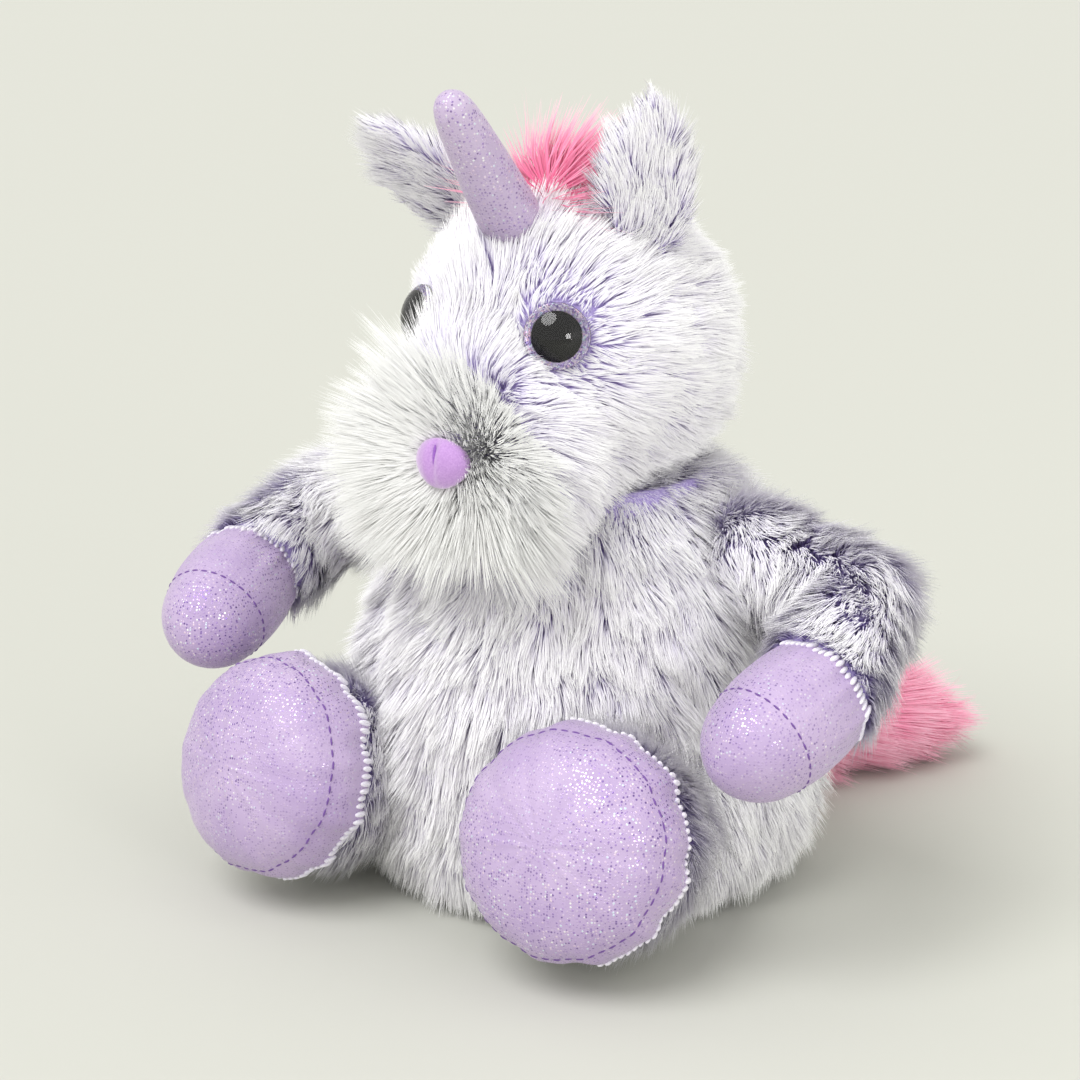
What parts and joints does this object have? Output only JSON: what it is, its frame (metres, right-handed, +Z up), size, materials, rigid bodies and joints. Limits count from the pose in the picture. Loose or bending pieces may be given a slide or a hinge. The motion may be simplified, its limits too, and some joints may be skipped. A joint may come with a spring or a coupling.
{
  "type": "plush unicorn",
  "caption": "Seated stuffed unicorn in long lilac and white pile, with glitter hooves and horn, pink mane and tail, and soft limbs, ears and neck that bend at their seams.",
  "frame": {"origin": "centre of the seat, on the floor", "axes": "+Z up; the toy faces -Y; +X towards the toy's left arm"},
  "size_m": [0.3218, 0.3285, 0.3134],
  "materials": {
    "lilac_fur": "long soft pile, white tips over lilac roots",
    "white_fur": "longer soft white pile",
    "pink_fur": "long soft pink pile",
    "purple_backing": "short pile in the seam",
    "hoof_glitter": "dotted foil print on soft fabric",
    "horn_glitter": "dotted foil print on soft fabric",
    "nose_velour": "short velour",
    "purple_thread": "polyester thread",
    "label_satin": "woven satin",
    "pouch_cotton": "plain cotton",
    "grain": "dry grain",
    "stuffing": "polyester wadding",
    "clear_dome": "clear moulded dome",
    "eye_glitter": "glitter behind the dome",
    "black_plastic": "moulded black",
    "white_plastic": "moulded"
  },
  "bodies": {
    "torso": {"body_front_left": "lilac_fur", "body_front_right": "lilac_fur", "body_back_left": "lilac_fur", "body_back_right": "lilac_fur", "body_base": "lilac_fur", "body_stuffing": "stuffing", "heat_pouch": "pouch_cotton", "grain_fill": "grain", "care_label": "label_satin"},
    "neck": {"neck_seam": "purple_backing"},
    "head": {"head_side_left": "lilac_fur", "head_side_right": "lilac_fur", "forehead_gusset": "lilac_fur", "muzzle_upper": "white_fur", "muzzle_chin": "white_fur", "nose": "nose_velour", "mane": "pink_fur", "head_stuffing": "stuffing", "eye_lens_left": "clear_dome", "eye_ring_left": "eye_glitter", "eye_post_left": "black_plastic", "eye_washer_left": "white_plastic", "eye_lens_right": "clear_dome", "eye_ring_right": "eye_glitter", "eye_post_right": "black_plastic", "eye_washer_right": "white_plastic"},
    "horn": {"horn_cover": "horn_glitter", "horn_stuffing": "stuffing"},
    "ear_left": {"ear_front_left": "lilac_fur", "ear_back_left": "lilac_fur"},
    "arm_left": {"arm_outer_left": "lilac_fur", "arm_inner_left": "lilac_fur", "arm_stuffing_left": "stuffing", "hand_front_left": "hoof_glitter", "hand_band_left": "hoof_glitter", "hand_stitches_left": "purple_thread"},
    "leg_left": {"leg_outer_left": "lilac_fur", "leg_inner_left": "lilac_fur", "leg_stuffing_left": "stuffing", "hoof_front_left": "hoof_glitter", "hoof_band_left": "hoof_glitter", "hoof_stitches_left": "purple_thread"},
    "ear_right": {"ear_front_right": "lilac_fur", "ear_back_right": "lilac_fur"},
    "arm_right": {"arm_outer_right": "lilac_fur", "arm_inner_right": "lilac_fur", "arm_stuffing_right": "stuffing", "hand_front_right": "hoof_glitter", "hand_band_right": "hoof_glitter", "hand_stitches_right": "purple_thread"},
    "leg_right": {"leg_outer_right": "lilac_fur", "leg_inner_right": "lilac_fur", "leg_stuffing_right": "stuffing", "hoof_front_right": "hoof_glitter", "hoof_band_right": "hoof_glitter", "hoof_stitches_right": "purple_thread"},
    "tail": {"tail_upper": "pink_fur", "tail_under": "pink_fur"}
  },
  "joints": [
    {"name": "head_turn", "type": "hinge", "parent": "torso", "child": "neck", "pos_m": [0, -0.008, 0.14], "axis": [0, 0, 1], "range_deg": [-20, 20], "stiffness_Nm_per_rad": 1.5},
    {"name": "head_nod", "type": "hinge", "parent": "neck", "child": "head", "pos_m": [0, -0.008, 0.14], "axis": [1, 0, 0], "range_deg": [-15, 4], "stiffness_Nm_per_rad": 6},
    {"name": "horn_bend", "type": "hinge", "parent": "head", "child": "horn", "pos_m": [0, -0.048, 0.258], "axis": [1, 0, 0], "range_deg": [-15, 15], "stiffness_Nm_per_rad": 0.4},
    {"name": "ear_fold_left", "type": "hinge", "parent": "head", "child": "ear_left", "pos_m": [0.0385, -0.023, 0.2515], "axis": [0.6165, 0.685, -0.3882], "range_deg": [-6, 35], "stiffness_Nm_per_rad": 0.08},
    {"name": "ear_fold_right", "type": "hinge", "parent": "head", "child": "ear_right", "pos_m": [-0.0385, -0.023, 0.2515], "axis": [-0.6165, 0.685, -0.3882], "range_deg": [-5, 34], "stiffness_Nm_per_rad": 0.08},
    {"name": "shoulder_left", "type": "hinge", "parent": "torso", "child": "arm_left", "pos_m": [0.07, 0.005, 0.128], "axis": [1, 0, 0], "range_deg": [-60, 5], "stiffness_Nm_per_rad": 1.2},
    {"name": "shoulder_right", "type": "hinge", "parent": "torso", "child": "arm_right", "pos_m": [-0.07, 0.005, 0.128], "axis": [1, 0, 0], "range_deg": [-60, 5], "stiffness_Nm_per_rad": 1.2},
    {"name": "hip_left", "type": "hinge", "parent": "torso", "child": "leg_left", "pos_m": [0.063, -0.067, 0.041], "axis": [1, 0, 0], "range_deg": [-15, 0], "stiffness_Nm_per_rad": 1.5},
    {"name": "hip_right", "type": "hinge", "parent": "torso", "child": "leg_right", "pos_m": [-0.063, -0.067, 0.041], "axis": [1, 0, 0], "range_deg": [-15, 0], "stiffness_Nm_per_rad": 1.5},
    {"name": "tail_swing", "type": "hinge", "parent": "torso", "child": "tail", "pos_m": [0, 0.09, 0.024], "axis": [0, 0, 1], "range_deg": [0, 60], "stiffness_Nm_per_rad": 0.3}
  ]
}
